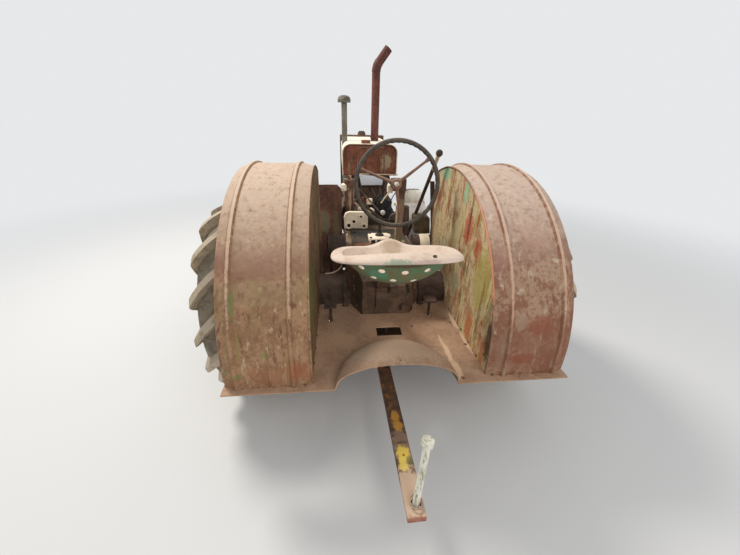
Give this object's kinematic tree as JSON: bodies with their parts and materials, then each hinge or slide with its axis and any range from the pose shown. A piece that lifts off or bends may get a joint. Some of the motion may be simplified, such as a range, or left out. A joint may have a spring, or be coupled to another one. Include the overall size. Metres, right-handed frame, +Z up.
{
  "type": "vintage tractor",
  "caption": "Worn standard-tread farm tractor with an open engine, plain hood, wide fenders, a pan seat, an upright exhaust and a drawbar",
  "frame": {"origin": "on the ground plane, midway between the drawbar's end and the front of the front tyres, on the centre line", "axes": "+X is the driver's right, +Y is forward, +Z is up, in metres"},
  "size_m": [1.83, 3.3898, 1.9558],
  "materials": {
    "case_iron": "satin",
    "rusty_sheet": "matte",
    "hood_sheet": "matte",
    "seat_green": "matte",
    "bare_steel": "satin",
    "black_cover": "satin",
    "tyre_rubber": "matte"
  },
  "bodies": {
    "chassis": {"main_case": "case_iron", "axle_housings": "case_iron", "platform": "rusty_sheet", "fender_left": "rusty_sheet", "fender_right": "rusty_sheet", "seat": "seat_green", "seat_spring": "case_iron", "steering_post": "case_iron", "steering_gearbox": "case_iron", "brakes": "case_iron", "clutch_lever": "case_iron", "transmission_cover": "case_iron", "cylinder_block": "case_iron", "cylinder_head": "case_iron", "crankcase_cover": "case_iron", "oil_filter": "rusty_sheet", "magneto": "black_cover", "governor": "case_iron", "air_cleaner": "hood_sheet", "exhaust_pipe": "rusty_sheet", "fuel_tank": "rusty_sheet", "hood": "hood_sheet", "radiator": "case_iron", "flywheel_guard": "rusty_sheet", "pulley_guard": "rusty_sheet", "drawbar": "rusty_sheet", "hitch_pin": "bare_steel", "front_axle": "case_iron"},
    "rear_wheel_left": {"rear_wheel_left": "case_iron", "rear_tyre_left": "tyre_rubber"},
    "rear_wheel_right": {"rear_wheel_right": "case_iron", "rear_tyre_right": "tyre_rubber"},
    "front_wheel_left": {"front_wheel_left": "case_iron", "front_tyre_left": "tyre_rubber"},
    "front_wheel_right": {"front_wheel_right": "case_iron", "front_tyre_right": "tyre_rubber"},
    "knuckle_left": {"knuckle_left": "case_iron"},
    "knuckle_right": {"knuckle_right": "case_iron"},
    "pitman_arm": {"pitman_arm": "bare_steel"},
    "drag_link": {"drag_link": "bare_steel"},
    "tie_rod": {"tie_rod": "bare_steel"},
    "steering_wheel": {"steering_wheel": "case_iron"},
    "crankshaft": {"flywheel": "case_iron", "belt_pulley": "case_iron"},
    "fan": {"fan": "bare_steel"}
  },
  "joints": [
    {"name": "steer_left", "type": "hinge", "parent": "chassis", "child": "knuckle_left", "pos_m": [-0.46, 1.3105, 0.476], "axis": [0, 0, 1], "range_deg": [-30, 30]},
    {"name": "steer_right", "type": "hinge", "parent": "chassis", "child": "knuckle_right", "pos_m": [0.46, 1.3105, 0.476], "axis": [0, 0, 1], "range_deg": [-30, 30]},
    {"name": "pitman_turn", "type": "hinge", "parent": "chassis", "child": "pitman_arm", "pos_m": [0.215, 1.0405, 0.541], "axis": [0, 0, 1], "range_deg": [-30, 30]},
    {"name": "drag_link_pivot", "type": "hinge", "parent": "pitman_arm", "child": "drag_link", "pos_m": [0.215, 0.9005, 0.513], "axis": [0, 0, 1], "range_deg": [-30, 30]},
    {"name": "tie_rod_pivot", "type": "hinge", "parent": "knuckle_left", "child": "tie_rod", "pos_m": [-0.46, 1.1705, 0.48], "axis": [0, 0, 1], "range_deg": [-30, 30]},
    {"name": "steering_wheel_turn", "type": "hinge", "parent": "chassis", "child": "steering_wheel", "pos_m": [0.065, -0.5195, 1.167], "axis": [-0.0984, -0.9844, 0.1457], "range_deg": [-360, 360]},
    {"name": "front_spin_left", "type": "hinge", "parent": "knuckle_left", "child": "front_wheel_left", "pos_m": [-0.59, 1.3105, 0.384], "axis": [1, 0, 0], "continuous": true},
    {"name": "front_spin_right", "type": "hinge", "parent": "knuckle_right", "child": "front_wheel_right", "pos_m": [0.59, 1.3105, 0.384], "axis": [1, 0, 0], "continuous": true},
    {"name": "rear_spin_left", "type": "hinge", "parent": "chassis", "child": "rear_wheel_left", "pos_m": [-0.765, -0.5395, 0.532], "axis": [1, 0, 0], "continuous": true},
    {"name": "rear_spin_right", "type": "hinge", "parent": "chassis", "child": "rear_wheel_right", "pos_m": [0.765, -0.5395, 0.532], "axis": [1, 0, 0], "continuous": true},
    {"name": "crank_turn", "type": "hinge", "parent": "chassis", "child": "crankshaft", "pos_m": [0, 0.2405, 0.715], "axis": [1, 0, 0], "continuous": true},
    {"name": "fan_turn", "type": "hinge", "parent": "chassis", "child": "fan", "pos_m": [-0.012, 1.0605, 0.985], "axis": [0, 1, 0], "continuous": true}
  ],
  "couplings": [
    {"joint": "steer_right", "follows": "steer_left", "ratio": 1},
    {"joint": "pitman_turn", "follows": "steer_left", "ratio": 1},
    {"joint": "drag_link_pivot", "follows": "steer_left", "ratio": -1},
    {"joint": "tie_rod_pivot", "follows": "steer_left", "ratio": -1},
    {"joint": "steering_wheel_turn", "follows": "steer_left", "ratio": 12}
  ]
}
